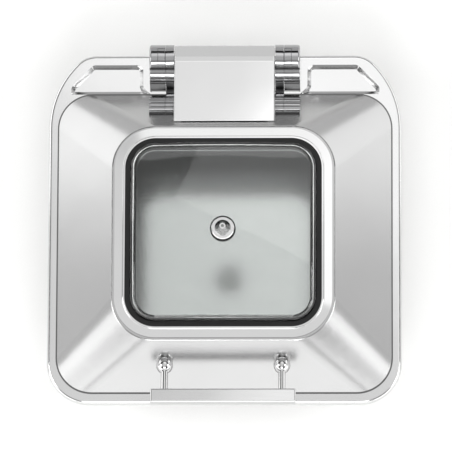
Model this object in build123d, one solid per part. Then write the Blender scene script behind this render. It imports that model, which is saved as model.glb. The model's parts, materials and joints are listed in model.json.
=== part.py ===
from build123d import *
from math import atan2, cos, degrees, hypot, pi, radians, sin
import os

# Chafing dish for one two-thirds food pan, with a hinged glass-topped lid.
# Millimetres. +Z is up and the front, with the handle, faces -Y.
# The origin is the centre of the flat base, on the table.

# Sheet and clearances
sheet = 1.0
seat_gap = 0.2
lid_gap = 0.3
fit_gap = 0.03
side_gap = 0.4

# Food pan, the standard two-thirds size, 65 deep
pan_width = 354.0
pan_depth = 325.0
pan_height = 65.0
pan_corner = 30.0
pan_flange = 12.0
pan_flange_turn = 4.0
pan_draft = 6.0
pan_floor_radius = 14.0

# Water pan: well, ledge for the food pan, rim and rear deck
rim_height = 106.0
rim_margin = 10.5
rim_front_margin = 11.85
deck_depth = 47.65
rim_front_corner = 50.0
rim_sweep = 112.0
rim_back_corner = 33.0
rim_lip = 10.0
rim_bend = 4.0
ledge_drop = 6.0
ledge_clearance = 2.0
well_clearance = 4.0
well_draft = 8.0
well_floor_radius = 12.0

# Pressed pockets in the rear deck, either side of the hinge
pocket_depth = 5.0
pocket_slope = 4.5
pocket_margin = 26.0
pocket_hinge_gap = 8.5
pocket_side = 9.0
pocket_sweep = 26.0
pocket_flare = 9.0
pocket_back_gap = 12.0
pocket_radius = 8.0

# Encapsulated induction base
base_height = 7.0
base_radius = 112.0
base_cap_sheet = 0.8
base_edge = 2.0

# Lid
lid_overhang_x = 22.5
lid_overhang_y = 19.5
lid_corner = 43.0
lid_flange = 1.5
lid_rise = 58.0
lid_bend = 3.0
land_margin = 3.0
land_lip_drop = 5.0

# Window: gasket outline, bezel round it, glass inside it
window_inset_x = 61.0
window_inset_y = 49.0
window_corner = 36.0
bezel_width = 12.3
bezel_step = 2.4
bezel_height = 4.6
bezel_bead = 3.0
clamp_screw_stations = (-1, 0, 1)
gasket_ring = 6.0
gasket_height = 4.0
gasket_pad = 1.5
glass_lap = 8.0
glass_thickness = 4.0
glass_crown = 24.0
glass_sphere = 900.0
glass_edge_radius = 8.0
clamp_width = 18.0
clamp_thickness = 1.5
clamp_screw_radius = 1.5
clamp_head_radius = 3.0
clamp_head_height = 1.8

# Steam vent in the middle of the glass
vent_stem_radius = 5.0
vent_disc_radius = 13.5
vent_disc_height = 2.4
vent_cone_radius = 9.5
vent_cone_top = 3.6
vent_cone_height = 10.5
vent_hole_radius = 1.85
vent_seal_radius = 15.0
vent_seal_height = 1.4
vent_nut_radius = 9.0
vent_nut_height = 4.0

# Hinge: pin across the rear deck, levers inside fixed cheeks
hinge_axis_inset = 10.2
hinge_axis_lift = 21.5
barrel_radius = 17.0
hinge_outer = 89.5
cheek_inner = 79.6
cheek_foot_inner = 70.7
lever_inner = 60.2
foot_seam = 0.4
pin_radius = 4.0
pin_end_wall = 2.5
bush_wall = 2.0
knuckle_radius = 9.5
cheek_reach = 34.0
block_end_radius = 2.5
cap_foot_lift = 5.0
cap_edge = 0.5
hinge_plate_height = 3.0
hinge_plate_back = 4.5
backing_height = 2.0
hinge_screw_radius = 2.5
hinge_screw_x = 45.0
hinge_screw_inset = 7.0
nut_across = 8.0
nut_height = 4.0
lever_pad_length = 47.0
lever_pad_height = 9.5
lever_underside_lift = 1.5

# Spring and damper carried on the pin under the cover
spring_wire = 1.2
spring_radius = 5.7
spring_turns = 6
spring_pitch = 3.4
spring_inner_x = 33.5
damper_radius = 12.8
damper_half_length = 30.0
damper_foot_width = 20.0
damper_foot_depth = 9.0

# Folded cover plate and the bracket that holds it
cover_half_width = 59.4
cover_sheet = 1.5
cover_reach = 66.4
bracket_half_width = 52.0
bracket_sheet = 2.0
bracket_start = 6.0
bracket_end = 53.0
bracket_top_length = 44.0
bracket_screw_x = 32.0
bracket_screw_first = 16.0
bracket_screw_pitch = 22.0
bracket_screw_radius = 2.0
bracket_head_radius = 4.0
bracket_head_height = 1.8

# Front handle
handle_spacing = 138.0
handle_station = 44.0
boss_radius = 10.0
boss_centre_height = 6.0
post_radius = 4.35
post_angle = 13.0
post_reach = 31.0
post_socket = 4.0
bar_length = 171.0
bar_width = 17.5
bar_thickness = 9.5
bar_edge = 2.0
bar_socket = 4.0
handle_screw_radius = 2.5
handle_screw_depth = 5.0
handle_head_radius = 4.5
handle_head_height = 2.6
washer_radius = 7.5
washer_height = 1.2

# Levels and places that follow from the sizes above
lid_width = pan_width + 2 * lid_overhang_x
lid_depth = pan_depth + 2 * lid_overhang_y
rim_width = lid_width + 2 * rim_margin
rim_front = -lid_depth / 2 - rim_front_margin
rim_back = lid_depth / 2 + deck_depth
pocket_outer_x = rim_width / 2 - pocket_margin
pocket_inner_x = hinge_outer + pocket_hinge_gap
window_width = pan_width - 2 * window_inset_x
window_depth = pan_depth - 2 * window_inset_y
ledge_z = rim_height - ledge_drop
flange_bottom = rim_height + lid_gap
flange_top = flange_bottom + sheet
land_z = rim_height + lid_rise
axis_y = rim_back - hinge_axis_inset
axis_z = rim_height + hinge_axis_lift
hinge_plate_top = rim_height + hinge_plate_height
well_width = pan_width - 2 * pan_flange + 2 * well_clearance
well_depth = pan_depth - 2 * pan_flange + 2 * well_clearance
land_width = window_width + 2 * bezel_width + 2 * land_margin
land_depth = window_depth + 2 * bezel_width + 2 * land_margin
land_corner = window_corner + bezel_width + land_margin
glass_width = window_width - 2 * gasket_ring
glass_depth = window_depth - 2 * gasket_ring
glass_corner = window_corner - gasket_ring
opening_width = glass_width - 2 * glass_lap
opening_depth = glass_depth - 2 * glass_lap
opening_corner = glass_corner - glass_lap
slope_foot_y = lid_depth / 2 - lid_flange
slope_run = slope_foot_y - land_depth / 2
slope_angle = atan2(land_z - flange_top, slope_run)
lid_wall_run = sheet * (1 - cos(slope_angle)) / sin(slope_angle)
glass_top = land_z + glass_crown
knuckle_face = cheek_inner - side_gap
lever_face = cheek_foot_inner - side_gap
bush_radius = pin_radius + bush_wall
cover_lap = seat_gap + cover_sheet
os.makedirs("parts", exist_ok=True)


def save(name, shape):
    """Writes one piece as its own file."""
    export_step(shape, f"parts/{name}.step")


def slab(width, depth, corner, z, height):
    """A rounded rectangular plate from z upwards."""
    return Pos(0, 0, z) * extrude(RectangleRounded(width, depth, corner), height)


def frustum(low, high):
    """A drawn shape between two rounded rectangles, each (width, depth, corner, z)."""
    faces = [Pos(0, 0, z) * RectangleRounded(w, d, r) for w, d, r, z in (low, high)]
    return loft(faces, ruled=True)


def rod(start, direction, radius, length):
    """A round bar from start along direction."""
    return Plane(origin=start, z_dir=direction) * Cylinder(
        radius, length, align=(Align.CENTER, Align.CENTER, Align.MIN)
    )


def along_x(x, length, radius, y, z):
    """A round bar along X, from x to x + length."""
    return rod((x, y, z), (1, 0, 0), radius, length)


def side_profile(edges, x, width):
    """A closed outline in the Y-Z plane, given width from x."""
    return Pos(x, 0, 0) * extrude(Plane.YZ * make_face(edges), width)


def both_sides(shape):
    """The left and right copies of a piece that is drawn on the right."""
    return {"left": mirror(shape, about=Plane.YZ), "right": shape}


def back_slope(s, n):
    """A Y-Z point on the lid's back slope, s up it from its foot and n above it."""
    y = slope_foot_y - s * cos(slope_angle) + n * sin(slope_angle)
    z = flange_top + s * sin(slope_angle) + n * cos(slope_angle)
    return (y, z)


def bent_sheet(points, thickness):
    """Edges of a folded sheet: the outer line and its mitred inner line, to the left."""
    inner = []
    for i, (y, z) in enumerate(points):
        normals = []
        for a, b in ((i - 1, i), (i, i + 1)):
            if 0 <= a and b < len(points):
                dy = points[b][0] - points[a][0]
                dz = points[b][1] - points[a][1]
                size = hypot(dy, dz)
                normals.append((-dz / size, dy / size))
        ny = sum(n[0] for n in normals) / len(normals)
        nz = sum(n[1] for n in normals) / len(normals)
        scale = thickness / (ny * ny + nz * nz)
        inner.append((y + ny * scale, z + nz * scale))
    return Polyline(*points, *reversed(inner), close=True).edges()


def rim_outline(inset):
    """The rim in plan: plain front corners and wide swept back corners."""
    half = rim_width / 2
    front_r = rim_front_corner
    front_x = half - front_r
    front_y = rim_front + front_r
    step = rim_sweep - rim_back_corner
    sweep_x = half - rim_sweep
    sweep_y = rim_back - rim_back_corner - step * sin(pi / 4)
    back_x = sweep_x + step * cos(pi / 4)
    back_y = sweep_y + step * sin(pi / 4)
    right = [
        Line((0, rim_front + inset), (front_x, rim_front + inset)),
        CenterArc((front_x, front_y), front_r - inset, -90, 90),
        Line((half - inset, front_y), (half - inset, sweep_y)),
        CenterArc((sweep_x, sweep_y), rim_sweep - inset, 0, 45),
        CenterArc((back_x, back_y), rim_back_corner - inset, 45, 45),
        Line((back_x, rim_back - inset), (0, rim_back - inset)),
    ]
    left = [mirror(e, about=Plane.YZ) for e in right]
    return make_face(right + left)


def pocket_outline():
    """One rear pocket in plan, open to the lid's back edge, on the right."""
    front = lid_depth / 2 - side_gap
    back = rim_back - pocket_back_gap
    points = [
        (pocket_inner_x - pocket_flare, front),
        (pocket_outer_x, front),
        (pocket_outer_x, front + pocket_side),
        (pocket_outer_x - pocket_sweep, back),
        (pocket_inner_x, back),
        (pocket_inner_x, front + pocket_flare),
    ]
    face = make_face(Polyline(*points, close=True).edges())
    rounded = [v for v in face.vertices() if v.Y > front + pocket_flare / 2]
    return fillet(rounded, pocket_radius)


def pocket_shell(outset, top, depth):
    """The pressed form of a pocket: its outline, drawn in towards the floor."""
    outline = offset(pocket_outline(), outset) if outset else pocket_outline()
    taper = degrees(atan2(pocket_slope, pocket_depth))
    form = Pos(0, 0, top) * extrude(outline, depth, dir=(0, 0, -1), taper=taper)
    return form + mirror(form, about=Plane.YZ)


def hinge_screw_spots():
    """The four screws through the hinge plate and deck."""
    near = axis_y - cheek_reach + hinge_screw_inset
    far = rim_back - hinge_plate_back - hinge_screw_inset
    return [(x, y) for x in (-hinge_screw_x, hinge_screw_x) for y in (near, far)]


def make_water_pan():
    """Deep-drawn pan: lipped rim, ledge, tapered well and two rear pockets."""
    low = rim_height - rim_lip
    rim = Pos(0, 0, low) * extrude(rim_outline(0), rim_lip)
    rim = fillet(rim.faces().sort_by(Axis.Z)[-1].edges(), rim_bend)
    hollow = Pos(0, 0, low) * extrude(rim_outline(sheet), rim_lip - sheet)
    hollow = fillet(hollow.faces().sort_by(Axis.Z)[-1].edges(), rim_bend - sheet)
    ledge_w = pan_width + 2 * ledge_clearance
    ledge_d = pan_depth + 2 * ledge_clearance
    ledge_r = pan_corner + ledge_clearance
    well_r = pan_corner
    floor_w = well_width - 2 * well_draft
    floor_d = well_depth - 2 * well_draft
    floor_r = well_r - well_draft / 2
    wall = 2 * sheet
    body = rim - hollow
    body += pocket_shell(sheet, rim_height - sheet, pocket_depth)
    body += slab(ledge_w + wall, ledge_d + wall, ledge_r + sheet, ledge_z - sheet, ledge_drop)
    outer = frustum(
        (floor_w + wall, floor_d + wall, floor_r + sheet, base_height),
        (well_width + wall, well_depth + wall, well_r + sheet, ledge_z),
    )
    body += fillet(outer.faces().sort_by(Axis.Z)[0].edges(), well_floor_radius)
    inner = frustum(
        (floor_w, floor_d, floor_r, base_height + sheet),
        (well_width, well_depth, well_r, ledge_z + sheet),
    )
    body -= fillet(inner.faces().sort_by(Axis.Z)[0].edges(), well_floor_radius - sheet)
    body -= slab(ledge_w, ledge_d, ledge_r, ledge_z, ledge_drop + sheet)
    body -= pocket_shell(0, rim_height, pocket_depth)
    for x, y in hinge_screw_spots():
        body -= Pos(x, y, rim_height) * Cylinder(hinge_screw_radius + fit_gap, 4 * sheet)
    return body


def make_induction_base():
    """Heat-spreading core disc and the stainless cap pressed over it."""
    cap = Pos(0, 0, base_height / 2) * Cylinder(base_radius, base_height)
    cap = fillet(cap.faces().sort_by(Axis.Z)[0].edges(), base_edge)
    inner = base_radius - base_cap_sheet
    core_height = base_height - base_cap_sheet
    core = Pos(0, 0, base_cap_sheet + core_height / 2) * Cylinder(inner, core_height)
    core = fillet(core.faces().sort_by(Axis.Z)[0].edges(), base_edge - base_cap_sheet)
    return core, cap - core


def make_food_pan():
    """Two-thirds food pan with a turned-down flange."""
    top = ledge_z + lid_gap + pan_flange_turn
    low = top - pan_flange_turn
    floor = top - pan_height
    mouth_w = pan_width - 2 * pan_flange
    mouth_d = pan_depth - 2 * pan_flange
    mouth_r = pan_corner - 4 * sheet
    wall = 2 * sheet
    floor_r = mouth_r - pan_draft / 2
    flange = slab(pan_width, pan_depth, pan_corner, low, pan_flange_turn)
    flange = fillet(flange.faces().sort_by(Axis.Z)[-1].edges(), 2 * sheet)
    flange -= slab(pan_width - wall, pan_depth - wall, pan_corner - sheet, low, pan_flange_turn - sheet)
    outer = frustum(
        (mouth_w - 2 * pan_draft, mouth_d - 2 * pan_draft, floor_r, floor),
        (mouth_w, mouth_d, mouth_r, top - sheet),
    )
    body = flange + fillet(outer.faces().sort_by(Axis.Z)[0].edges(), pan_floor_radius)
    inner = frustum(
        (mouth_w - 2 * pan_draft - wall, mouth_d - 2 * pan_draft - wall, floor_r - sheet, floor + sheet),
        (mouth_w - wall, mouth_d - wall, mouth_r - sheet, top + sheet),
    )
    return body - fillet(inner.faces().sort_by(Axis.Z)[0].edges(), pan_floor_radius - sheet)


def handle_axis(side):
    """Centre of a handle boss: on the front slope, raised off it."""
    y, z = back_slope(handle_station, boss_centre_height)
    return (side * handle_spacing / 2, -y, z)


def front_normal():
    """Outward direction of the lid's front slope."""
    return Vector(0, -sin(slope_angle), cos(slope_angle))


def bracket_screw_spots():
    """The four bracket screws, as x and distance up the back slope."""
    rows = (bracket_screw_first, bracket_screw_first + bracket_screw_pitch)
    return [(x, s) for x in (-bracket_screw_x, bracket_screw_x) for s in rows]


def back_rod(x, s, n, radius, length):
    """A round bar standing on the back slope, from height n outwards."""
    y, z = back_slope(s, n)
    return rod((x, y, z), (0, sin(slope_angle), cos(slope_angle)), radius, length)


def clamp_screw_spots():
    """Screws of the window clamp, spread along the four straight sides."""
    x = window_width / 2 + bezel_width / 2
    y = window_depth / 2 + bezel_width / 2
    reach_x = window_width / 2 - window_corner
    reach_y = window_depth / 2 - window_corner
    spots = []
    for station in clamp_screw_stations:
        spots += [(reach_x * station, -y), (reach_x * station, y)]
        spots += [(-x, reach_y * station), (x, reach_y * station)]
    return spots


def make_lid_shell():
    """Pressed lid: flat flange, four slopes and a land round the window."""
    foot_w = lid_width - 2 * lid_flange
    foot_d = lid_depth - 2 * lid_flange
    foot_r = lid_corner - lid_flange
    run = 2 * lid_wall_run
    outer = frustum(
        (foot_w, foot_d, foot_r, flange_top),
        (land_width, land_depth, land_corner, land_z),
    )
    outer = fillet(outer.faces().sort_by(Axis.Z)[-1].edges(), lid_bend)
    shell = slab(lid_width, lid_depth, lid_corner, flange_bottom, sheet) + outer
    shell -= frustum(
        (foot_w - run, foot_d - run, foot_r - lid_wall_run, flange_bottom),
        (land_width - run, land_depth - run, land_corner - lid_wall_run, land_z - sheet),
    )
    lip_w = opening_width + 2 * sheet
    lip_d = opening_depth + 2 * sheet
    shell += slab(lip_w, lip_d, opening_corner + sheet, land_z - land_lip_drop, land_lip_drop)
    shell -= slab(opening_width, opening_depth, opening_corner, land_z - lid_rise, 2 * lid_rise)
    for x, y in clamp_screw_spots():
        shell -= Pos(x, y, land_z) * Cylinder(clamp_screw_radius + fit_gap, 4 * sheet)
    for x, s in bracket_screw_spots():
        shell -= back_rod(x, s, -4 * sheet, bracket_screw_radius + fit_gap, 8 * sheet)
    for side in (-1, 1):
        x, y, z = handle_axis(side)
        shell -= rod(Vector(x, y, z) - front_normal() * 5 * boss_centre_height / 2,
                     front_normal(), handle_screw_radius + fit_gap, 2 * boss_centre_height)
    return shell


def make_bezel():
    """Raised ring round the window: a step, a gentle slope and an inner bead."""
    outer_w = window_width + 2 * bezel_width
    outer_d = window_depth + 2 * bezel_width
    outer_r = window_corner + bezel_width
    crest = bezel_bead / 2
    ring = slab(outer_w, outer_d, outer_r, land_z, bezel_step)
    ring += frustum(
        (outer_w, outer_d, outer_r, land_z + bezel_step),
        (window_width + 2 * bezel_bead, window_depth + 2 * bezel_bead,
         window_corner + bezel_bead, land_z + bezel_height - crest),
    )
    bead = slab(window_width + 2 * bezel_bead, window_depth + 2 * bezel_bead,
                window_corner + bezel_bead, land_z, bezel_height)
    bead = fillet(bead.faces().sort_by(Axis.Z)[-1].edges(), crest)
    ring += bead
    ring -= slab(window_width, window_depth, window_corner, land_z - sheet, 2 * bezel_height)
    for x, y in clamp_screw_spots():
        ring -= Pos(x, y, land_z) * Cylinder(clamp_screw_radius + fit_gap, 2 * bezel_step)
    return ring


def make_gasket():
    """Black channel gasket: a pad under the glass and an upstand round it."""
    ring = slab(window_width - 2 * fit_gap, window_depth - 2 * fit_gap,
                window_corner - fit_gap, land_z, gasket_height)
    ring = fillet(ring.faces().sort_by(Axis.Z)[-1].edges(), sheet)
    glass_hole = land_z + gasket_pad
    ring -= slab(glass_width, glass_depth, glass_corner, glass_hole, gasket_height)
    return ring - slab(opening_width, opening_depth, opening_corner, land_z - sheet, gasket_height)


def glass_form(inset, bottom):
    """The pressed glass: a rounded block cut by a large sphere, its edge rolled over."""
    radius = glass_sphere - inset
    crown = glass_top - inset
    block = slab(glass_width - 2 * inset - 2 * fit_gap, glass_depth - 2 * inset - 2 * fit_gap,
                 glass_corner - inset, bottom, 2 * glass_crown)
    block &= Pos(0, 0, crown - radius) * Sphere(radius)
    return fillet(block.edges().filter_by(GeomType.LINE, reverse=True).group_by(Axis.Z)[-1]
                  + block.edges().group_by(Axis.Z)[-2], glass_edge_radius - inset)


def make_glass():
    """Domed safety glass with a hole for the vent."""
    bottom = land_z + gasket_pad
    outer = glass_form(0, bottom)
    inner = glass_form(glass_thickness, bottom - sheet)
    return outer - inner - Pos(0, 0, glass_top) * Cylinder(vent_stem_radius + fit_gap, 4 * glass_thickness)


def make_clamp():
    """Retaining frame under the land, round the window opening."""
    top = land_z - sheet - seat_gap / 4
    inner_w = opening_width + 2 * sheet + 2 * side_gap
    inner_d = opening_depth + 2 * sheet + 2 * side_gap
    inner_r = opening_corner + sheet + side_gap
    outer = slab(inner_w + 2 * clamp_width, inner_d + 2 * clamp_width,
                 inner_r + clamp_width, top - clamp_thickness, clamp_thickness)
    frame = outer - slab(inner_w, inner_d, inner_r, top - 2 * clamp_thickness, 4 * clamp_thickness)
    for x, y in clamp_screw_spots():
        frame -= Pos(x, y, top) * Cylinder(clamp_screw_radius + fit_gap, 4 * clamp_thickness)
    return frame


def make_clamp_screws():
    """Screws from below through clamp and land into the bezel."""
    seat = land_z - sheet - seat_gap / 4 - clamp_thickness
    top = land_z + bezel_step - sheet / 2
    screws = []
    for x, y in clamp_screw_spots():
        shank = rod((x, y, seat), (0, 0, 1), clamp_screw_radius, top - seat)
        head = rod((x, y, seat), (0, 0, -1), clamp_head_radius, clamp_head_height)
        screws.append(shank + head)
    return Compound(children=screws)


def make_vent():
    """Steam vent: bored cap with its disc, two seals and the nut under the glass."""
    seal_z = glass_top + seat_gap / 4
    disc_z = seal_z + vent_seal_height
    cone_z = disc_z + vent_disc_height
    under = glass_top - glass_thickness - seat_gap
    stem_low = under - vent_seal_height - vent_nut_height
    profile = Polyline(
        (vent_hole_radius, stem_low),
        (vent_stem_radius, stem_low),
        (vent_stem_radius, disc_z),
        (vent_disc_radius, disc_z),
        (vent_disc_radius, disc_z + vent_disc_height / 2),
        (vent_disc_radius - sheet, cone_z),
        (vent_cone_radius, cone_z),
        (vent_cone_top, cone_z + vent_cone_height),
        (vent_hole_radius, cone_z + vent_cone_height),
        close=True,
    )
    cap = revolve(Plane.XZ * make_face(profile.edges()), Axis.Z)
    ring = Cylinder(vent_seal_radius, vent_seal_height) - Cylinder(vent_stem_radius + fit_gap, vent_seal_height)
    half = vent_seal_height / 2
    seals = Compound(children=[Pos(0, 0, seal_z + half) * ring, Pos(0, 0, under - half) * ring])
    hexagon = RegularPolygon(vent_nut_radius, 6) - Circle(vent_stem_radius + fit_gap)
    nut = Pos(0, 0, stem_low) * extrude(hexagon, vent_nut_height)
    return cap, seals, nut


def crest_edges():
    """Top line of the hinge barrel in profile: round crest, crease, brow and nose."""
    turn = 140
    r = barrel_radius
    end = (axis_y + r * cos(radians(turn)), axis_z + r * sin(radians(turn)))
    crease = (axis_y - 0.85 * r, axis_z + 0.35 * r)
    crown = (axis_y - 1.13 * r, axis_z + 0.27 * r)
    brow = (axis_y - 1.45 * r, axis_z + 0.03 * r)
    nose = (axis_y - 1.62 * r, axis_z - 0.14 * r)
    chin = (axis_y - 1.68 * r, axis_z - 0.40 * r)
    arc = CenterArc((axis_y, axis_z), r, 0, turn)
    front = [ThreePointArc(crease, crown, brow), ThreePointArc(brow, nose, chin)]
    return [arc, Line(end, crease)] + front, chin


def pad_line():
    """Top line of a lever pad on the back slope, from its high end to its low end."""
    shares = [
        (1.0, 0.17), (0.949, 0.20), (0.943, 0.34), (0.911, 0.69), (0.857, 0.74),
        (0.766, 1.03), (0.670, 0.80), (0.553, 1.09), (0.436, 0.78),
    ]
    return [back_slope(s * lever_pad_length, n * lever_pad_height) for s, n in shares]


def pad_edges():
    """The end lip and the three rounded ribs of a lever pad."""
    lip, step, nose, rib_1, groove_1, rib_2, groove_2, rib_3, tail = pad_line()
    tip = back_slope(lever_pad_length, seat_gap)
    ribs = [
        ThreePointArc(nose, rib_1, groove_1),
        ThreePointArc(groove_1, rib_2, groove_2),
        ThreePointArc(groove_2, rib_3, tail),
    ]
    return [Line(tip, lip), Line(lip, step), Line(step, nose)] + ribs


def make_cheek():
    """Fixed cheek on the right: a full outer ear and a foot slotted for the knuckle."""
    top, chin = crest_edges()
    toe = (axis_y - cheek_reach, hinge_plate_top)
    heel = (axis_y + barrel_radius, hinge_plate_top)
    edges = top + [Line(chin, toe), Line(toe, heel), Line(heel, (axis_y + barrel_radius, axis_z))]
    cheek = side_profile(edges, cheek_foot_inner, hinge_outer - cheek_foot_inner)
    outline = cheek.faces().sort_by(Axis.X)[-1].edges().filter_by(GeomType.CIRCLE).sort_by(Axis.Y)
    cheek = fillet(outline[-1], block_end_radius)
    crown = cheek.faces().sort_by(Axis.X)[-1].edges().filter_by(GeomType.CIRCLE).sort_by(Axis.Y)[-2]
    cheek = fillet(crown, sheet)
    room = knuckle_radius + side_gap
    width = cheek_inner - cheek_foot_inner
    cheek -= along_x(cheek_foot_inner, width, room, axis_y, axis_z)
    slot_height = 2 * barrel_radius
    cheek -= Pos(cheek_foot_inner + width / 2, axis_y, axis_z + slot_height / 2) * Box(width, 2 * room, slot_height)
    bore = hinge_outer - pin_end_wall - cheek_foot_inner
    return cheek - along_x(cheek_foot_inner, bore, pin_radius + fit_gap, axis_y, axis_z)


def make_cheek_cap():
    """Cap on the right that closes the cheek's slot flush over the knuckle."""
    room = knuckle_radius + side_gap
    width = cheek_inner - cheek_foot_inner - fit_gap
    height = barrel_radius - cap_foot_lift
    cap = along_x(cheek_foot_inner, width, barrel_radius, axis_y, axis_z)
    cap &= Pos(cheek_foot_inner + width / 2, axis_y, axis_z + cap_foot_lift + height / 2) * Box(
        width, 2 * (room - fit_gap), height
    )
    cap -= along_x(cheek_foot_inner, width, room, axis_y, axis_z)
    outer = cap.faces().filter_by(lambda f: f.center().Z > axis_z + room).sort_by(Axis.Z)[-1]
    return chamfer(outer.edges(), cap_edge)


def make_lever():
    """Moving lever on the right: barrel, knuckle and the arm down to the lid's slope."""
    underside = rim_height + hinge_plate_height + lever_underside_lift
    top, chin = crest_edges()
    tail = pad_line()[-1]
    arm_start = (axis_y - cheek_reach + 2 * sheet, underside + 0.35 * lever_pad_height)
    arm_end = back_slope(0.40 * lever_pad_length, 0.45 * lever_pad_height)
    rise = (underside - flange_top - seat_gap * cos(slope_angle)) / sin(slope_angle)
    low = back_slope(rise, seat_gap)
    bottom = (axis_y, axis_z - barrel_radius)
    dip = (axis_y, underside)
    edges = top + [Line(chin, arm_start), Line(arm_start, arm_end), Line(arm_end, tail)]
    edges += pad_edges()
    edges += [Line(back_slope(lever_pad_length, seat_gap), low), Line(low, dip)]
    if dip[1] - bottom[1] > fit_gap:
        edges.append(Line(dip, bottom))
    edges.append(CenterArc((axis_y, axis_z), barrel_radius, -90, 90))
    lever = side_profile(edges, lever_inner, lever_face - lever_inner)
    lever += along_x(lever_face, knuckle_face - lever_face, knuckle_radius, axis_y, axis_z)
    return lever - along_x(lever_inner, knuckle_face - lever_inner, bush_radius + fit_gap, axis_y, axis_z)


def make_lever_foot():
    """Outer ribbed block on the right, bolted to the slope beside the lever."""
    low = back_slope(0.42 * lever_pad_length, seat_gap)
    edges = pad_edges() + [Line(pad_line()[-1], low), Line(low, back_slope(lever_pad_length, seat_gap))]
    start = lever_face + foot_seam
    return side_profile(edges, start, hinge_outer - start)


def make_hinge_fixed():
    """Plate on the deck, its backing plate below and the pin."""
    near = axis_y - cheek_reach
    far = rim_back - hinge_plate_back
    depth = far - near
    middle = (near + far) / 2
    plate = Pos(0, middle, rim_height) * extrude(
        RectangleRounded(2 * hinge_outer, depth, 2 * sheet), hinge_plate_height)
    backing_low = rim_height - sheet - backing_height
    backing = Pos(0, middle, backing_low) * extrude(
        RectangleRounded(2 * cheek_foot_inner, depth, 2 * sheet), backing_height)
    for x, y in hinge_screw_spots():
        plate -= rod((x, y, rim_height), (0, 0, 1), hinge_screw_radius + fit_gap, hinge_plate_height)
        plate -= Pos(x, y, hinge_plate_top - hinge_screw_radius / 2) * Cone(
            hinge_screw_radius + fit_gap, 2 * hinge_screw_radius + fit_gap, hinge_screw_radius)
        backing -= Pos(x, y, backing_low) * Cylinder(hinge_screw_radius + fit_gap, 4 * backing_height)
    length = 2 * (hinge_outer - pin_end_wall - seat_gap)
    pin = along_x(-length / 2, length, pin_radius, axis_y, axis_z)
    pin = chamfer(pin.edges(), sheet / 2)
    return plate, backing, pin


def make_hinge_fasteners():
    """Countersunk screws from above and hexagon nuts under the backing plate."""
    nut_top = rim_height - sheet - backing_height
    low = nut_top - nut_height - sheet
    screws = []
    nuts = []
    for x, y in hinge_screw_spots():
        shank = rod((x, y, low), (0, 0, 1), hinge_screw_radius, hinge_plate_top - low)
        head = Pos(x, y, hinge_plate_top - hinge_screw_radius / 2) * Cone(
            hinge_screw_radius, 2 * hinge_screw_radius, hinge_screw_radius)
        screws.append(shank + head)
        hexagon = RegularPolygon(nut_across / 2, 6, major_radius=False) - Circle(hinge_screw_radius + fit_gap)
        nuts.append(Pos(x, y, nut_top - nut_height) * extrude(hexagon, nut_height))
    return Compound(children=screws), Compound(children=nuts)


def make_bush():
    """Plain bearing bush in the right lever."""
    length = knuckle_face - lever_inner
    bush = along_x(lever_inner, length, bush_radius, axis_y, axis_z)
    return bush - along_x(lever_inner, length, pin_radius + fit_gap, axis_y, axis_z)


def make_spring():
    """Lid-assist torsion spring on the pin, right side, with a leg down to the plate."""
    height = spring_turns * spring_pitch
    line = Helix(pitch=spring_pitch, height=height, radius=spring_radius)
    section = Plane(origin=line @ 0, z_dir=line % 0) * RegularPolygon(spring_wire, 6)
    coil = sweep(section, path=line)
    coil = Pos(spring_inner_x, axis_y, axis_z) * Rot(0, 90, 0) * Rot(0, 0, -90) * coil
    leg_top = (spring_inner_x, axis_y - spring_radius, axis_z)
    leg_length = axis_z - hinge_plate_top - seat_gap
    return coil + rod(leg_top, (0, 0, -1), spring_wire, leg_length)


def make_damper():
    """Hydraulic damper barrel on the pin, with a foot that stops it turning."""
    full = 2 * damper_half_length
    barrel = along_x(-damper_half_length, full, damper_radius, axis_y, axis_z)
    barrel = chamfer(barrel.edges(), sheet)
    top = axis_z - damper_radius / 2
    height = top - hinge_plate_top - seat_gap / 4
    foot_y = axis_y - damper_radius + damper_foot_depth / 2 - sheet
    foot = Pos(0, foot_y, top - height / 2) * Box(damper_foot_width, damper_foot_depth, height)
    return barrel + foot - along_x(-damper_half_length, full, pin_radius + fit_gap, axis_y, axis_z)


def cover_line():
    """Outer line of the folded cover: rear edge, sloped rear band, ridge, front edge."""
    r = barrel_radius
    return [
        (axis_y + 1.03 * r, axis_z - 0.06 * r),
        (axis_y + 0.80 * r, axis_z + 0.62 * r),
        (axis_y - 0.06 * r, axis_z + 1.02 * r),
        (axis_y - 0.36 * r, axis_z + 0.94 * r),
        back_slope(cover_reach, cover_lap),
    ]


def make_cover():
    """Folded steel cover plate over the hinge."""
    return side_profile(bent_sheet(cover_line(), cover_sheet), -cover_half_width, 2 * cover_half_width)


def make_bracket():
    """Folded bracket: one leg on the slope, one under the cover plate."""
    ridge, front = cover_line()[3], cover_line()[4]
    dy, dz = ridge[0] - front[0], ridge[1] - front[1]
    size = hypot(dy, dz)
    along = (dy / size, dz / size)
    down = (dz / size, -dy / size)
    lap = cover_sheet + seat_gap
    bend = back_slope(bracket_end, seat_gap)
    start = (front[0] - bend[0]) * along[0] + (front[1] - bend[1]) * along[1]
    near = -start
    tip = near + bracket_top_length
    top_near = (front[0] + along[0] * near + down[0] * lap, front[1] + along[1] * near + down[1] * lap)
    top_tip = (front[0] + along[0] * tip + down[0] * lap, front[1] + along[1] * tip + down[1] * lap)
    line = [top_tip, top_near, bend, back_slope(bracket_start, seat_gap)]
    bracket = side_profile(bent_sheet(line, bracket_sheet), -bracket_half_width, 2 * bracket_half_width)
    for x, s in bracket_screw_spots():
        bracket -= back_rod(x, s, -sheet, bracket_screw_radius + fit_gap, 2 * bracket_sheet + sheet)
    return bracket


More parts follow.
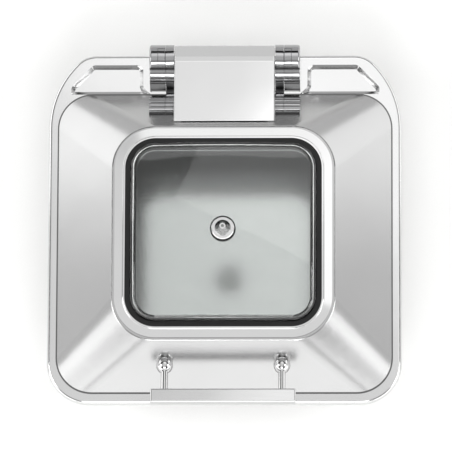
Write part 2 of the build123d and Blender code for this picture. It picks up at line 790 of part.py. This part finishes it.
def make_bracket_fasteners():
    """Pan-head screws through bracket and lid, with a nut strip inside the lid."""
    strip_top = -sheet - seat_gap
    strip_height = 2 * bracket_sheet
    screws = []
    reach = bracket_sheet + seat_gap
    for x, s in bracket_screw_spots():
        shank = back_rod(x, s, strip_top - strip_height, bracket_screw_radius, reach - strip_top + strip_height)
        screws.append(shank + back_rod(x, s, reach, bracket_head_radius, bracket_head_height))
    middle = bracket_screw_first + bracket_screw_pitch / 2
    y, z = back_slope(middle, strip_top - strip_height)
    plane = Plane(origin=(0, y, z), x_dir=(1, 0, 0), z_dir=(0, sin(slope_angle), cos(slope_angle)))
    width = 2 * (bracket_screw_x + bracket_head_radius)
    depth = bracket_screw_pitch + 2 * bracket_head_radius
    strip = plane * extrude(RectangleRounded(width, depth, 2 * sheet), strip_height)
    for x, s in bracket_screw_spots():
        strip -= back_rod(x, s, strip_top - 2 * strip_height, bracket_screw_radius + fit_gap, 4 * strip_height)
    return Compound(children=screws), strip


def handle_direction():
    """Direction of the handle posts, forwards and a little up."""
    return Vector(0, -cos(radians(post_angle)), sin(radians(post_angle)))


def make_boss(side):
    """Ball boss cut flat where it sits on the front slope, with a socket for the post."""
    centre = Vector(*handle_axis(side))
    normal = front_normal()
    ball = Pos(centre) * Sphere(boss_radius)
    foot = centre - normal * (boss_centre_height - seat_gap)
    ball -= rod(foot - normal * boss_radius, normal, 2 * boss_radius, boss_radius)
    ball -= rod(foot - normal * sheet, normal, handle_screw_radius + fit_gap, handle_screw_depth + sheet)
    socket = centre + handle_direction() * post_socket
    return ball - rod(socket, handle_direction(), post_radius + fit_gap, boss_radius)


def make_post(side):
    """Round post from the boss socket into the back of the bar."""
    start = Vector(*handle_axis(side)) + handle_direction() * (post_socket + seat_gap)
    length = post_reach - post_socket + bar_socket - 2 * seat_gap
    return rod(start, handle_direction(), post_radius, length)


def make_bar():
    """Flat handle bar with eased edges and two blind sockets."""
    x, y, z = handle_axis(1)
    centre = Vector(0, y, z) + handle_direction() * (post_reach + bar_width / 2)
    plane = Plane(origin=centre, x_dir=(1, 0, 0), z_dir=handle_direction())
    bar = plane * extrude(RectangleRounded(bar_length, bar_thickness, bar_edge), bar_width / 2, both=True)
    bar = fillet(bar.edges().filter_by(Axis.X), bar_edge)
    for side in (-1, 1):
        start = Vector(*handle_axis(side)) + handle_direction() * (post_reach - sheet)
        bar -= rod(start, handle_direction(), post_radius + fit_gap, bar_socket + sheet)
    return bar


def make_handle_fasteners():
    """Screws from inside the lid into the bosses, on flat washers."""
    normal = front_normal()
    screws = []
    washers = []
    for side in (-1, 1):
        surface = Vector(*handle_axis(side)) - normal * boss_centre_height
        seat = surface - normal * (sheet + seat_gap)
        head_face = seat - normal * (washer_height + seat_gap / 4)
        reach = washer_height + 2 * seat_gap + handle_screw_depth
        screws.append(rod(head_face, normal, handle_screw_radius, reach)
                      + rod(head_face, -normal, handle_head_radius, handle_head_height))
        washer = rod(seat, -normal, washer_radius, washer_height)
        washers.append(washer - rod(seat + normal, -normal, handle_screw_radius + fit_gap, 3 * washer_height))
    return Compound(children=screws), Compound(children=washers)


save("water_pan", make_water_pan())
induction_core, induction_cap = make_induction_base()
save("induction_core", induction_core)
save("induction_cap", induction_cap)
save("food_pan", make_food_pan())
save("lid_shell", make_lid_shell())
save("window_bezel", make_bezel())
save("window_gasket", make_gasket())
save("window_glass", make_glass())
save("window_clamp", make_clamp())
save("clamp_screws", make_clamp_screws())
vent_cap, vent_seals, vent_nut = make_vent()
save("vent_cap", vent_cap)
save("vent_seals", vent_seals)
save("vent_nut", vent_nut)
hinge_plate, hinge_backing, hinge_pin = make_hinge_fixed()
save("hinge_plate", hinge_plate)
save("hinge_backing_plate", hinge_backing)
save("hinge_pin", hinge_pin)
hinge_screws, hinge_nuts = make_hinge_fasteners()
save("hinge_screws", hinge_screws)
save("hinge_nuts", hinge_nuts)
hinge_pieces = {
    "hinge_cheek": make_cheek(),
    "cheek_cap": make_cheek_cap(),
    "lid_lever": make_lever(),
    "lever_foot": make_lever_foot(),
    "lever_bush": make_bush(),
    "lid_spring": make_spring(),
}
for name, shape in hinge_pieces.items():
    for side, copy in both_sides(shape).items():
        save(f"{name}_{side}", copy)
save("damper", make_damper())
save("hinge_cover", make_cover())
save("lid_bracket", make_bracket())
bracket_screws, bracket_nut_strip = make_bracket_fasteners()
save("bracket_screws", bracket_screws)
save("bracket_nut_strip", bracket_nut_strip)
for side, sign in (("left", -1), ("right", 1)):
    save(f"handle_boss_{side}", make_boss(sign))
    save(f"handle_post_{side}", make_post(sign))
save("handle_bar", make_bar())
handle_screws, handle_washers = make_handle_fasteners()
save("handle_screws", handle_screws)
save("handle_washers", handle_washers)
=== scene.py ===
import json
import math

import bpy
from mathutils import Matrix, Vector

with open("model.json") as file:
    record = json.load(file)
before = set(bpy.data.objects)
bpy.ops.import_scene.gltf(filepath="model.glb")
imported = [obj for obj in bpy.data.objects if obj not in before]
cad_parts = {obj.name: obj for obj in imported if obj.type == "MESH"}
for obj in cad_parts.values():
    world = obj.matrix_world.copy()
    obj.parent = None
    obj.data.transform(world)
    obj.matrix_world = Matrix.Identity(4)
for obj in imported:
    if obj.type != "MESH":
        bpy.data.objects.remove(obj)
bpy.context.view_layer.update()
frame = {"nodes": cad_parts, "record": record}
nodes = frame["nodes"]
bpy.ops.object.select_all(action="DESELECT")

MM = 0.001
SIDES = ("left", "right")


# Shader helpers

def hex_colour(code):
    """An sRGB hex colour as the linear colour that the shaders want."""
    parts = [int(code[i:i + 2], 16) / 255 for i in (1, 3, 5)]
    return [c / 12.92 if c <= 0.04045 else ((c + 0.055) / 1.055) ** 2.4 for c in parts] + [1.0]


def add_node(tree, kind, links=None, sockets=None, **settings):
    """Adds one node: its settings, its fixed socket values, and what feeds its sockets."""
    made = tree.nodes.new(kind)
    for name, value in settings.items():
        setattr(made, name, value)
    for name, value in (sockets or {}).items():
        made.inputs[name].default_value = value
    for name, source in (links or {}).items():
        tree.links.new(source, made.inputs[name])
    return made


def new_material(name):
    """A new material: itself, its node tree, its shader, and the piece's own coordinates in metres."""
    material = bpy.data.materials.new(name)
    material.use_nodes = True
    tree = material.node_tree
    place = add_node(tree, "ShaderNodeTexCoord").outputs["Object"]
    return material, tree, tree.nodes["Principled BSDF"], place


def noise(tree, place, size, detail=2.0):
    """A noise whose patches are about this many millimetres across: one size, or one along each axis."""
    if isinstance(size, tuple):
        place = add_node(
            tree, "ShaderNodeMapping", {"Vector": place}, {"Scale": [1000 / across for across in size]},
        ).outputs["Vector"]
        size = 1000
    return add_node(
        tree, "ShaderNodeTexNoise", {"Vector": place}, {"Scale": 1000 / size, "Detail": detail},
    ).outputs["Fac"]


def map_range(tree, value, before, after):
    """Maps one range of values to another."""
    sockets = {"From Min": before[0], "From Max": before[1], "To Min": after[0], "To Max": after[1]}
    return add_node(tree, "ShaderNodeMapRange", {"Value": value}, sockets).outputs["Result"]


def mix_colours(tree, pattern, dark, light, socket):
    """Runs a noise between two hex colours into a colour socket."""
    tone = add_node(
        tree, "ShaderNodeMix", {"Factor": pattern}, {6: hex_colour(dark), 7: hex_colour(light)}, data_type="RGBA",
    ).outputs[2]
    tree.links.new(tone, socket)
    return tone


def vary_roughness(tree, shader, pattern, low, high):
    """Lets a noise run the roughness between two values. Most of a noise lies between 0.3 and 0.7."""
    tree.links.new(map_range(tree, pattern, (0.3, 0.7), (low, high)), shader.inputs["Roughness"])


def raise_surface(tree, shader, layers):
    """Stacks bumps: each layer is a noise, a strength and a height in mm."""
    normal = None
    for pattern, strength, height in layers:
        links = {"Height": pattern} if normal is None else {"Height": pattern, "Normal": normal}
        normal = add_node(
            tree, "ShaderNodeBump", links, {"Strength": strength, "Distance": height * MM},
        ).outputs["Normal"]
    tree.links.new(normal, shader.inputs["Normal"])


def darken(tree, shader, tone, shade):
    """Paints shade into the metal's colour: multiplies it by a factor between 0 and 1."""
    darker = add_node(tree, "ShaderNodeVectorMath", {0: tone, 1: shade}, operation="MULTIPLY")
    tree.links.new(darker.outputs["Vector"], shader.inputs["Base Color"])


# Camera: nearly straight above the lid, from a long way off, as in the photograph.

ELEVATION, AZIMUTH, ROLL = (math.radians(angle) for angle in (77.575, 7.19, -7.12))
CAMERA_DISTANCE = 7.0
WIDTH_SEEN = 452 * 1.18704 * MM  # pixels across, and the size of one at the rim
RIM_CENTRE = Vector((0, 0, 0.106))
SHIFT_RIGHT, SHIFT_UP = 1.617 * MM, 20.247 * MM
SENSOR_WIDTH = 36


def aim_camera():
    """Sets the camera on the line of sight, rolled so that the rim stands square in the picture."""
    forward = -Vector((
        math.sin(AZIMUTH) * math.cos(ELEVATION),
        -math.cos(AZIMUTH) * math.cos(ELEVATION),
        math.sin(ELEVATION),
    ))
    level = forward.cross(Vector((0, 0, 1))).normalized()
    upright = level.cross(forward)
    right = level * math.cos(ROLL) + upright * math.sin(ROLL)
    up = upright * math.cos(ROLL) - level * math.sin(ROLL)
    target = RIM_CENTRE + right * SHIFT_RIGHT + up * SHIFT_UP
    bpy.ops.object.camera_add(location=target - forward * CAMERA_DISTANCE)
    camera = bpy.context.object
    camera.name = "overhead_camera"
    camera.rotation_mode = "QUATERNION"
    camera.rotation_quaternion = Matrix((right, up, -forward)).transposed().to_quaternion()
    camera.data.sensor_width = SENSOR_WIDTH
    camera.data.lens = SENSOR_WIDTH * CAMERA_DISTANCE / WIDTH_SEEN
    camera.data.clip_end = 60
    bpy.context.scene.camera = camera


aim_camera()


# Studio: pale floor, walls with one dark band, and soft panels that the steel mirrors.

FLOOR_SIZE, FLOOR_GAP = 30, 0.6 * MM

# The walls' tone by height: the sine of the angle above the horizon, and the colour there. The dark band puts
# dark lines into the chrome and into every bend.
WALL_TONES = (
    (0.0, "#FFFFFF"),
    (0.24, "#ECECEC"),
    (0.50, "#ECECEC"),
    (0.58, "#303030"),
    (0.74, "#303030"),
    (0.90, "#CCCCCC"),
    (0.97, "#FCFCFC"),
)

# Each panel: name, place, the point that it faces, width and height in metres, radiance.
PANELS = (
    # Mirrored in the right half of the rim and in the deck.
    ("ceiling_light", (0.9, 1.5, 3.4), (0.6, 0.9, 0), 2.4, 2.1, 0.55),
    # Mirrored in the cover of the hinge.
    ("back_light", (0, 1.9, 3.0), (0, 0.1, 0.1), 2.2, 1.0, 0.76),
    # Mirrored in the front slope.
    ("front_light", (0, -1.5, 0.3), (0, 0, 0.2), 1.35, 0.7, 0.9),
    # Mirrored in the back halves of the side slopes. Their ends make the slopes fade to grey.
    ("left_light", (-1.3, 1.06, 0.45), (-0.1, 0.96, 0.15), 1.5, 0.9, 1.15),
    ("right_light", (1.3, 1.06, 0.45), (0.1, 0.96, 0.15), 1.5, 0.9, 0.9),
    # Mirrored in the front corners, as bright streaks.
    ("front_left_light", (-1.24, -0.9, 0.5), (0, 0, 0.2), 1.6, 0.95, 1.25),
    ("front_right_light", (1.24, -0.9, 0.5), (0, 0, 0.2), 1.6, 0.95, 1.15),
    # High and strong: these light the floor.
    ("left_high_light", (-2.6, -0.4, 2.6), (0, -0.1, 0.1), 1.6, 1.2, 5.0),
    ("right_high_light", (2.6, -0.4, 2.6), (0, -0.1, 0.1), 1.6, 1.2, 5.0),
    ("front_high_light", (0, -2.4, 2.6), (0, -0.1, 0.1), 1.6, 1.2, 5.0),
)


def light_panel(name, place, aim, width, height, radiance):
    """A soft panel of the given radiance, turned to face a point and unseen by the camera."""
    bpy.ops.object.light_add(type="AREA", location=place)
    lamp = bpy.context.object
    lamp.name = name
    lamp.rotation_euler = (Vector(aim) - Vector(place)).to_track_quat("-Z", "Y").to_euler()
    lamp.data.shape = "RECTANGLE"
    lamp.data.size = width
    lamp.data.size_y = height
    lamp.data.energy = radiance * width * height * math.pi
    lamp.visible_camera = False


def lay_floor():
    """Matt photographic paper: its fibres of 2 mm only break up the edge of the shadow."""
    bpy.ops.mesh.primitive_plane_add(size=FLOOR_SIZE, location=(0, 0, -FLOOR_GAP))
    floor = bpy.context.object
    floor.name = "studio_floor"
    paper, tree, shader, place = new_material("matt_white_paper")
    mix_colours(tree, noise(tree, place, 2), "#F8F8F7", "#FDFDFC", shader.inputs["Base Color"])
    shader.inputs["Roughness"].default_value = 0.9
    floor.data.materials.append(paper)


def paint_walls():
    """The world's colour, by height only."""
    world = bpy.data.worlds.new("studio_walls")
    bpy.context.scene.world = world
    world.use_nodes = True
    tree = world.node_tree
    way = add_node(tree, "ShaderNodeTexCoord").outputs["Generated"]
    height = add_node(tree, "ShaderNodeSeparateXYZ", {"Vector": way}).outputs["Z"]
    bands = add_node(tree, "ShaderNodeValToRGB", {"Fac": height})
    ramp = bands.color_ramp
    ramp.interpolation = "EASE"
    for place, code in WALL_TONES:
        stop = ramp.elements[0] if place == 0.0 else ramp.elements.new(place)
        stop.position = place
        stop.color = hex_colour(code)
    ramp.elements.remove(ramp.elements[len(ramp.elements) - 1])
    tree.links.new(bands.outputs["Color"], tree.nodes["Background"].inputs["Color"])


lay_floor()
paint_walls()
for panel in PANELS:
    light_panel(*panel)
bpy.context.scene.view_settings.view_transform = "Standard"


# Materials

CLOUD, SWELL = 110, 70  # mm: patches of tone in the metal, and waves of its sheet
PAINTED_SHADOW_FADE = 0.4  # mm over which the painted shadow line along the lid's lower edge fades out


def metal(name, dark, light, roughness, spread, grain, wave, painted_shadow_below=None, painted_shade_depth=None):
    """Bare or plated metal: cloudy tone, polishing grain, and the swell of the sheet. Lengths are in mm.

    Below a given height a painted shadow darkens the metal, and painted shade darkens it in crevices of up to the given
    depth.
    """
    material, tree, shader, place = new_material(name)
    shader.inputs["Metallic"].default_value = 1.0
    tone = mix_colours(tree, noise(tree, place, CLOUD, 3.0), dark, light, shader.inputs["Base Color"])
    # Painted shadow: below this height the colour goes nearly black, standing in for the dark line where the lid's edge
    # meets the rim.
    if painted_shadow_below is not None:
        height = add_node(tree, "ShaderNodeSeparateXYZ", {"Vector": place}).outputs["Z"]
        fade = ((painted_shadow_below - PAINTED_SHADOW_FADE) * MM, painted_shadow_below * MM)
        darken(tree, shader, tone, map_range(tree, height, fade, (0.05, 1.0)))
    # Painted shade: an ambient-occlusion node darkens the colour in crevices up to the given depth.
    if painted_shade_depth is not None:
        openness = add_node(
            tree, "ShaderNodeAmbientOcclusion", None, {"Distance": painted_shade_depth * MM}, samples=8,
        ).outputs["AO"]
        darken(tree, shader, tone, map_range(tree, openness, (0.4, 0.9), (0.05, 1.0)))
    lines = noise(tree, place, grain)
    vary_roughness(tree, shader, lines, roughness - spread, roughness + spread)
    raise_surface(tree, shader, ((noise(tree, place, SWELL, 1.0), wave, 10.0), (lines, 0.02, 0.2)))
    return material


def moulded(name, dark, light, low, high, grain, ior, coat=0.0):
    """Moulded or painted surface: handling leaves soft patches of 28 mm, and the skin has a fine grain in mm."""
    material, tree, shader, place = new_material(name)
    patches = noise(tree, place, 28, 3.0)
    mix_colours(tree, patches, dark, light, shader.inputs["Base Color"])
    vary_roughness(tree, shader, patches, low, high)
    shader.inputs["IOR"].default_value = ior
    shader.inputs["Coat Weight"].default_value = coat
    raise_surface(tree, shader, ((noise(tree, place, grain), 0.25, 0.06),))
    return material


def clear_glass(name):
    """Tempered soda-lime glass, faintly green. Wiping marks of 22 by 60 mm dull its shine in soft patches."""
    material, tree, shader, place = new_material(name)
    smears = noise(tree, place, (60, 22, 60), 4.0)
    mix_colours(tree, smears, "#F6FAF8", "#FDFFFE", shader.inputs["Base Color"])
    vary_roughness(tree, shader, smears, 0.0, 0.05)
    shader.inputs["IOR"].default_value = 1.52
    shader.inputs["Transmission Weight"].default_value = 1.0
    raise_surface(tree, shader, ((noise(tree, place, 90, 1.0), 0.02, 10.0),))
    return material


# One finish for each slot. Polishing grain is really 0.05 to 0.1 mm wide. It is drawn at 0.6 to 1 mm, so that
# it shows as a soft glint and not as sparkle.

finishes = {
    # Deep-drawn stainless steel, polished bright: the swell of the drawing bends what the rim mirrors.
    "satin_stainless": metal(
        "stainless_deep_drawn", "#CACACA", "#D6D6D6", roughness=0.14, spread=0.03, grain=0.9, wave=0.02,
    ),
    # Pressed stainless lid, satin bright: reflections go soft on the slopes. A painted shadow line darkens its lower
    # edge.
    "lid_stainless": metal(
        "stainless_pressed_lid", "#B0B0B0", "#BABABA", roughness=0.23, spread=0.03, grain=0.9, wave=0.02,
        painted_shadow_below=107.6,
    ),
    # Mirror-polished stainless steel of the bezel and the cover: clean pale faces with hard borders.
    "polished_stainless": metal(
        "stainless_mirror_polished", "#D0D0D0", "#DADADA", roughness=0.08, spread=0.02, grain=0.6, wave=0.012,
    ),
    # Bright-drawn food pan: long faint lines up its walls from the drawing tool.
    "pan_stainless": metal(
        "stainless_bright_drawn", "#BFBFBF", "#CCCCCC", roughness=0.2, spread=0.04, grain=(0.9, 0.9, 24), wave=0.02,
    ),
    # Cap of the base, ground one way: duller, with lines along the grinding.
    "base_stainless": metal(
        "stainless_straight_ground", "#B8B8B8", "#C4C4C4", roughness=0.26, spread=0.05, grain=(22, 0.7, 0.7), wave=0.01,
    ),
    # Cast aluminium disc: paler and matt, with a coarse skin.
    "core_aluminium": metal(
        "aluminium_disc", "#C6C7C9", "#D2D3D5", roughness=0.34, spread=0.06, grain=2.0, wave=0.02,
    ),
    # Chrome plate over a zinc casting: dark, cool and sharp, with the slight ripple of a cast face. Its crevices
    # get painted shade from an ambient-occlusion node, so they stay dark.
    "hinge_chrome": metal(
        "chrome_plated_casting", "#9A9A9B", "#A6A6A7", roughness=0.07, spread=0.02, grain=0.8, wave=0.02,
        painted_shade_depth=12,
    ),
    # Polished bar and turned bosses of the handle: fine lines along the bar.
    "handle_stainless": metal(
        "stainless_polished_bar", "#C0C0C0", "#CCCCCC", roughness=0.1, spread=0.02, grain=(30, 0.6, 0.6), wave=0.012,
    ),
    # Turned stainless screws and nuts: a little dull, with tool marks.
    "screw_steel": metal(
        "stainless_turned_screw", "#B4B4B4", "#C2C2C2", roughness=0.2, spread=0.05, grain=0.6, wave=0.01,
    ),
    # Drawn spring wire with its grey oiled skin.
    "spring_steel": metal(
        "spring_wire", "#8A8A8C", "#98989A", roughness=0.3, spread=0.05, grain=0.6, wave=0.01,
    ),
    # Moulded black silicone: soft sheen. Its grain of 0.2 mm is drawn at 0.8 mm.
    "black_silicone": moulded("silicone_black", "#0B0B0B", "#111111", low=0.38, high=0.5, grain=0.8, ior=1.41),
    # Natural nylon of the bearings: off-white and waxy.
    "bush_nylon": moulded("nylon_white", "#D6D3C8", "#E2E0D8", low=0.34, high=0.46, grain=1.0, ior=1.53),
    # Black stoved paint on the damper's tube: glossy, with orange peel of 2 mm.
    "damper_body": moulded(
        "damper_black_paint", "#151516", "#1D1D1E", low=0.3, high=0.38, grain=2.0, ior=1.5, coat=0.4,
    ),
    # The window: clear, so that the food pan shows through it.
    "window_glass": clear_glass("glass_tempered"),
}

for part in frame["record"]["subparts"]:
    mesh = nodes[part["node"]].data
    mesh.materials.clear()
    mesh.materials.append(finishes[part["material_slot"]])


# Edges

SAME_POINT = 0.01 * MM
SHARP_FROM = math.radians(24)
FOLDED_RADIUS, MACHINED_RADIUS = 0.7, 0.5  # mm
FOLDED_PIECES = ("hinge_cover", "lid_bracket")
HINGE_BLOCKS = ("hinge_cheek", "cheek_cap", "lid_lever", "lever_foot")


def soften_edges(name, radius):
    """Rounds the sharp edges of a machined or folded piece by a real radius in mm, so that they catch the light."""
    piece = nodes[name]
    weld = piece.modifiers.new("join_triangles", "WELD")
    weld.merge_threshold = SAME_POINT
    bevel = piece.modifiers.new("broken_edge", "BEVEL")
    bevel.width = radius * MM
    bevel.segments = 3
    bevel.limit_method = "ANGLE"
    bevel.angle_limit = SHARP_FROM
    bevel.use_clamp_overlap = True
    weights = piece.modifiers.new("flat_faces", "WEIGHTED_NORMAL")
    weights.weight = 80


for name in FOLDED_PIECES:
    soften_edges(name, FOLDED_RADIUS)
for block in HINGE_BLOCKS:
    for side in SIDES:
        soften_edges(f"{block}_{side}", MACHINED_RADIUS)
